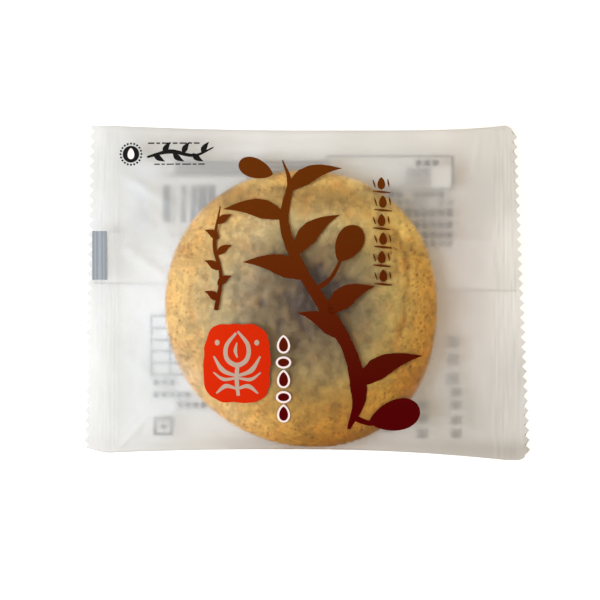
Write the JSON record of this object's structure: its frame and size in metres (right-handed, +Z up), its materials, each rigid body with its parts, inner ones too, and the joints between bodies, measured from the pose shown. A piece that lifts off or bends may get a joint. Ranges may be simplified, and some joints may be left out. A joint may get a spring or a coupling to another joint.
{
  "type": "wrapped almond sable cookie",
  "caption": "Round domed shortbread cookie sealed in a frosted clear pillow wrapper with crimped, zigzag-cut ends and a folded seam along the back.",
  "frame": {"origin": "on the table, under the middle of the wrapper", "axes": "+X along the wrapper from end seal to end seal, +Y across it towards its upper long fold, +Z up through the cookie"},
  "size_m": [0.1121, 0.0838, 0.012],
  "materials": {
    "film": "frosted translucent film with a soft sheen",
    "cookie": "matte baked crumb, browner round the rim",
    "ink_dark": "opaque printed ink",
    "ink_red": "opaque printed ink",
    "ink_white": "opaque printed ink",
    "ink_grey": "printed ink on the back film"
  },
  "bodies": {
    "root": {"sealed_pack": "film"}
  },
  "joints": []
}
